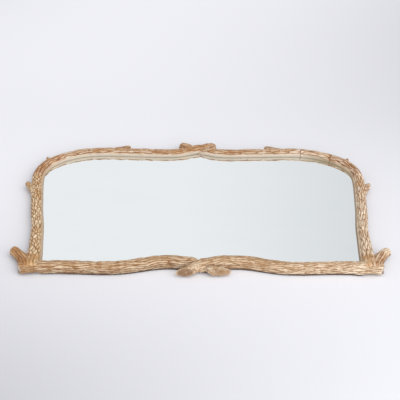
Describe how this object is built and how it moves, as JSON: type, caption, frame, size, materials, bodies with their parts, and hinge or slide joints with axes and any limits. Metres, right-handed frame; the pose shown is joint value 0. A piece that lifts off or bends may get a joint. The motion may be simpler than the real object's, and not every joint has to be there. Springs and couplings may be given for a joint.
{
  "type": "wall mirror",
  "caption": "Wide arched overmantel mirror in a carved, limed wood frame of branches that cross at the top and bottom, with stub ends and twigs, lying on its back.",
  "frame": {"origin": "middle of the outline, on the plane of the wall bumpers, with the mirror lying on its back", "axes": "+Z out of the glass, +Y towards the arched top of the hung mirror, +X to the right as one faces the glass"},
  "size_m": [1.5552, 0.9293, 0.05],
  "materials": {
    "limed_wood": "carved wood with a rubbed white wash in the grooves, matt",
    "silvered_glass": "silvered float glass",
    "board_wood": "plain plywood",
    "dowel_wood": "plain turned hardwood",
    "screw_brass": "bright brass",
    "zinc_steel": "zinc plated",
    "bumper_rubber": "matt black rubber"
  },
  "bodies": {
    "frame": {"bottom_rail_left": "limed_wood", "bottom_rail_right": "limed_wood", "left_stile": "limed_wood", "right_stile": "limed_wood", "top_corner_left": "limed_wood", "top_corner_right": "limed_wood", "top_rail_left": "limed_wood", "top_rail_right": "limed_wood", "top_rail_insert": "limed_wood", "corner_stub_left": "limed_wood", "corner_stub_right": "limed_wood", "side_twig_left": "limed_wood", "side_twig_right": "limed_wood", "shoulder_twig_left": "limed_wood", "shoulder_twig_right": "limed_wood", "top_twig_left": "limed_wood", "top_twig_right": "limed_wood", "mirror_glass": "silvered_glass", "backing_board": "board_wood", "backing_screws": "screw_brass", "joint_dowels": "dowel_wood", "twig_dowels": "dowel_wood", "hanger_strap_left": "zinc_steel", "hanger_strap_right": "zinc_steel", "hanger_screws": "zinc_steel", "wall_bumpers": "bumper_rubber", "bumper_screws": "zinc_steel"},
    "ring_left": {"hanger_ring_left": "zinc_steel"},
    "ring_right": {"hanger_ring_right": "zinc_steel"}
  },
  "joints": [
    {"name": "ring_left_swing", "type": "hinge", "parent": "frame", "child": "ring_left", "pos_m": [-0.71646, 0.165, 0.00444], "axis": [-1, 0, 0], "range_deg": [0, 170]},
    {"name": "ring_right_swing", "type": "hinge", "parent": "frame", "child": "ring_right", "pos_m": [0.71646, 0.165, 0.00444], "axis": [-1, 0, 0], "range_deg": [0, 170]}
  ]
}
